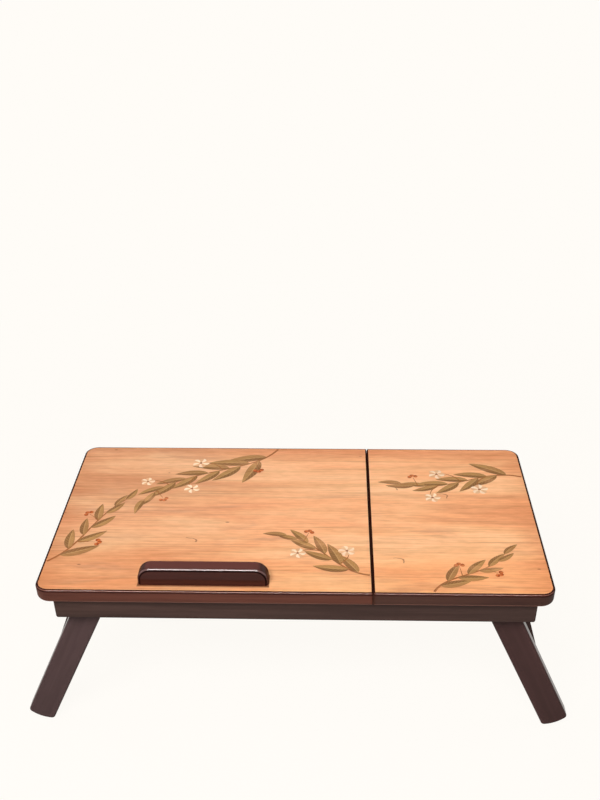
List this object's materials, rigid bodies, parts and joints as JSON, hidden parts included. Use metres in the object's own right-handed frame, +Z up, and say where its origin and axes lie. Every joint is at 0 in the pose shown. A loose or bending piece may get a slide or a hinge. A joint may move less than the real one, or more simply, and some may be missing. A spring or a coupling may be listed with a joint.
{
  "type": "folding lap table",
  "caption": "Low wooden lap table with a front-hinged tilting board and stop bar, a fixed side board, splayed folding legs and a side drawer.",
  "frame": {"origin": "on the floor, under the middle of the top", "axes": "+X along the table's length to the side board and drawer, +Y from the front (hinge side) to the back, +Z up"},
  "size_m": [0.6524, 0.305, 0.244],
  "materials": {
    "dark_lacquer": "dark brown satin lacquer",
    "stained_wood": "matt dark stain",
    "wood_face": "satin honey wood grain face",
    "beech": "plain beech",
    "steel": "zinc plated",
    "brass": "plain brass",
    "nylon": "natural nylon"
  },
  "bodies": {
    "frame": {"front_rail": "dark_lacquer", "rear_rail": "dark_lacquer", "left_rail": "dark_lacquer", "right_front_post": "dark_lacquer", "right_rear_post": "dark_lacquer", "front_bearer": "stained_wood", "rear_bearer": "stained_wood", "divider": "stained_wood", "front_seam_strip": "stained_wood", "rear_seam_strip": "stained_wood", "base_panel": "stained_wood", "side_board": "dark_lacquer", "side_board_face": "wood_face", "prop_rack_left": "stained_wood", "prop_rack_right": "stained_wood", "drawer_stop": "stained_wood", "drawer_stop_screws": "steel", "frame_dowels": "beech", "base_panel_screws": "steel", "side_board_screws": "steel", "leg_pivot_bolts": "steel", "leg_pivot_inserts": "brass", "leg_washers": "nylon", "hinge_rail_leaves": "brass", "hinge_rail_screws": "steel", "hinge_pins": "steel"},
    "tilt_top": {"tilt_board": "dark_lacquer", "tilt_board_face": "wood_face", "stop_bar": "dark_lacquer", "stop_bar_screws": "steel", "hinge_board_leaves": "brass", "hinge_board_screws": "steel", "prop_cleat_left": "stained_wood", "prop_cleat_right": "stained_wood", "prop_cleat_screws": "steel", "prop_pivot_pins": "steel"},
    "prop": {"prop_arm_left": "stained_wood", "prop_arm_right": "stained_wood", "prop_foot_dowel": "beech"},
    "left_legs": {"left_front_leg": "dark_lacquer", "left_rear_leg": "dark_lacquer", "left_stretcher": "dark_lacquer", "left_stretcher_dowels": "beech", "left_leg_bushes": "nylon"},
    "right_legs": {"right_front_leg": "dark_lacquer", "right_rear_leg": "dark_lacquer", "right_stretcher": "dark_lacquer", "right_stretcher_dowels": "beech", "right_leg_bushes": "nylon"},
    "drawer": {"drawer_front": "dark_lacquer", "drawer_front_side": "stained_wood", "drawer_rear_side": "stained_wood", "drawer_back": "stained_wood", "drawer_bottom": "stained_wood", "drawer_knob": "dark_lacquer", "drawer_knob_screw": "steel", "drawer_dowels": "beech"}
  },
  "joints": [
    {"name": "tilt", "type": "hinge", "parent": "frame", "child": "tilt_top", "pos_m": [-0.09775, -0.1428, 0.206], "axis": [1, 0, 0], "range_deg": [0, 30]},
    {"name": "prop_swing", "type": "hinge", "parent": "tilt_top", "child": "prop", "pos_m": [-0.09775, 0.0572, 0.2005], "axis": [1, 0, 0], "range_deg": [0, 24]},
    {"name": "left_leg_fold", "type": "hinge", "parent": "frame", "child": "left_legs", "pos_m": [-0.22704, 0, 0.1835], "axis": [0, -1, 0], "range_deg": [0, 115.8]},
    {"name": "right_leg_fold", "type": "hinge", "parent": "frame", "child": "right_legs", "pos_m": [0.22704, 0, 0.1835], "axis": [0, 1, 0], "range_deg": [0, 115.8]},
    {"name": "drawer_slide", "type": "slide", "parent": "frame", "child": "drawer", "axis": [1, 0, 0], "range_m": [0, 0.129]}
  ],
  "couplings": [
    {"joint": "prop_swing", "follows": "tilt", "ratio": 0.8}
  ]
}
